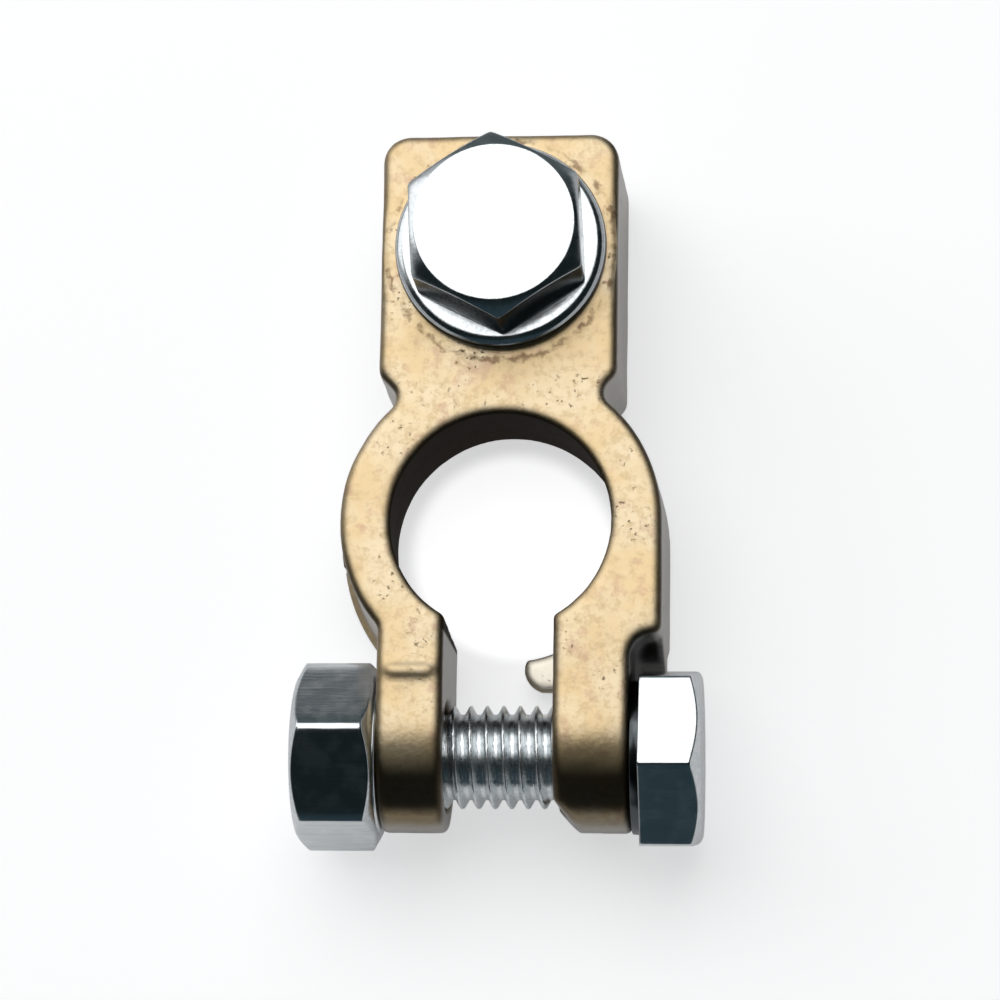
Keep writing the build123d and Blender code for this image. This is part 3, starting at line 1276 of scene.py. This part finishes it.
@dataclass(frozen=True)
class Softbox:
    """Large square lamp whose face, of the given radiance, looks at its aim."""

    name: str
    place: Triple
    side: float
    radiance: float
    aim: Triple = (0.0, 0.0, 8.0 * MM)

    def build(self) -> None:
        """Make the lamp."""
        data = bpy.data.lights.new(self.name, "AREA")
        data.shape = "SQUARE"
        data.size = self.side
        data.energy = self.radiance * math.pi * self.side**2
        lamp = bpy.data.objects.new(self.name, data)
        toward = Vector(self.aim) - Vector(self.place)
        turn = toward.to_track_quat("-Z", "Y").to_matrix().to_4x4()
        lamp.matrix_world = Matrix.Translation(self.place) @ turn
        bpy.context.scene.collection.objects.link(lamp)


@dataclass(frozen=True)
class Glow:
    """Soft round patch of light on the studio's walls.

    Attributes:
        toward: Direction of its middle.
        full: Angle from the middle up to which it is at full strength, in degrees.
        fade: Angle at which it has faded out, in degrees.
        colour: Linear colour at full strength.
    """

    toward: Triple
    full: float
    fade: float
    colour: Triple


@dataclass(frozen=True)
class Studio:
    """Dark room with soft glows on its walls and a pale band low on both sides.

    Attributes:
        side_reach: How far to the side the band starts and is full.
        side_rise: Height where the band ends and where it is full.
        backdrop: Colour that the camera itself sees.
    """

    dark: Triple = (0.007, 0.012, 0.013)
    sides: Triple = (0.42, 0.43, 0.44)
    side_reach: Pair = (0.40, 0.70)
    side_rise: Pair = (0.42, 0.24)
    backdrop: Triple = (1.0, 1.0, 1.0)
    glows: tuple[Glow, ...] = (
        Glow((0.0, 0.96, 0.20), 22, 55, (0.076, 0.094, 0.100)),
        Glow((0.0, -0.95, 0.33), 16, 40, (0.024, 0.042, 0.052)),
        Glow((-0.80, 0.50, 0.36), 20, 34, (0.52, 0.53, 0.54)),
        Glow((-0.13, 0.44, 0.89), 24, 34, (0.90, 0.90, 0.90)),
    )

    def build(self) -> None:
        """Make the world."""
        world = bpy.data.worlds.new("studio")
        bpy.context.scene.world = world
        world.use_nodes = True
        world.node_tree.nodes.clear()
        n = Nodes(world.node_tree)
        where = n.add("ShaderNodeTexCoord")
        shade: object = self.dark
        for glow in self.glows:
            toward = n.add("ShaderNodeVectorMath", operation="DOT_PRODUCT")
            n.wire(where.outputs["Generated"], toward.inputs[0])
            toward.inputs[1].default_value = Vector(glow.toward).normalized()
            inner, outer = (math.cos(math.radians(angle)) for angle in (glow.full, glow.fade))
            shade = n.mix(n.ramp(toward.outputs["Value"], outer, inner), shade, glow.colour)
        x, _, z = n.split(where.outputs["Generated"])
        beside = n.ramp(n.unsigned(x), *self.side_reach)
        low = n.ramp(z, *self.side_rise)
        shade = n.mix(n.times(beside, low), shade, self.sides)
        seen = n.add("ShaderNodeLightPath")
        background = n.add("ShaderNodeBackground")
        shade = n.mix(seen.outputs["Is Camera Ray"], shade, self.backdrop)
        n.wire(shade, background.inputs["Color"])
        n.add("ShaderNodeOutputWorld", surface=background.outputs[0])


@dataclass(frozen=True)
class Floor:
    """Pale seamless floor that keeps the object's shadow.

    Attributes:
        height: Just under the lowest corners of the bolt and the nut.
        glow: Light that it adds for the camera.
        glow_in_bore: More of it under the bore.
        glow_far: More of it far from the object.
        glow_mirrored: Light that it gives to mirroring metal.
        fade: Distance from the post's axis where it counts as far, and as near.
        bore_share: Share of the bore's radius where its light is full.
    """

    height: float = -1.53 * MM
    half_width: float = 2.0
    glow: float = 0.59
    glow_in_bore: float = 0.29
    glow_far: float = 0.32
    glow_mirrored: float = 0.20
    fade: Pair = (0.20, 0.09)
    bore_share: float = 0.8
    near: Triple = (0.82, 0.82, 0.83)
    far: Triple = (0.25, 0.26, 0.27)

    def paper(self) -> bpy.types.Material:
        """White paper that lights up for the camera and for mirroring metal.

        Returns:
            The new material.
        """
        made, n = new_material("white_paper")
        seen = n.add("ShaderNodeLightPath")
        where = n.add("ShaderNodeTexCoord")
        reach = n.distance(n.split(where.outputs["Object"]), POST_AXIS)
        near = n.ramp(reach, *self.fade)
        in_bore = n.ramp(reach, BORE_RADIUS, self.bore_share * BORE_RADIUS)
        beyond = n.times(n.minus(1.0, near), self.glow_far)
        lit = n.plus(self.glow, n.times(in_bore, self.glow_in_bore), beyond)
        direct = n.times(seen.outputs["Is Camera Ray"], lit)
        mirrored = n.times(seen.outputs["Is Glossy Ray"], self.glow_mirrored, near)
        glow = n.add("ShaderNodeEmission", strength=n.plus(direct, mirrored))
        matt = n.add("ShaderNodeBsdfDiffuse")
        n.wire(n.mix(near, self.far, self.near), matt.inputs["Color"])
        both = n.add("ShaderNodeAddShader")
        n.wire(glow.outputs[0], both.inputs[0])
        n.wire(matt.outputs[0], both.inputs[1])
        n.add("ShaderNodeOutputMaterial", surface=both.outputs[0])
        return made

    def build(self) -> None:
        """Make the floor."""
        mesh = bmesh.new()
        bmesh.ops.create_grid(mesh, x_segments=2, y_segments=2, size=self.half_width)
        bmesh.ops.translate(mesh, verts=mesh.verts[:], vec=(0, 0, self.height))
        floor = to_object("floor", mesh)
        floor.data.materials.append(self.paper())


LAMPS = (
    Softbox("key", (-0.075, 0.263, 0.534), 0.68, 0.66),
    Softbox("side", (-0.46, 0.27, 0.27), 0.40, 0.7),
)


def main() -> None:
    """Load the frame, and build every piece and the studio."""
    logging.basicConfig(level=logging.INFO, format="%(name)s: %(message)s")
    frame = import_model()
    shop = Workshop()
    shop.prepare()
    Casting().build(shop, frame["nodes"]["clamp_body"])
    ClampHardware().build(shop)
    CableHardware().build(shop)
    Floor().build()
    Studio().build()
    for lamp in LAMPS:
        lamp.build()
    CameraFit().build()
    bpy.context.scene.view_settings.view_transform = "Standard"


if __name__ == "__main__":
    main()
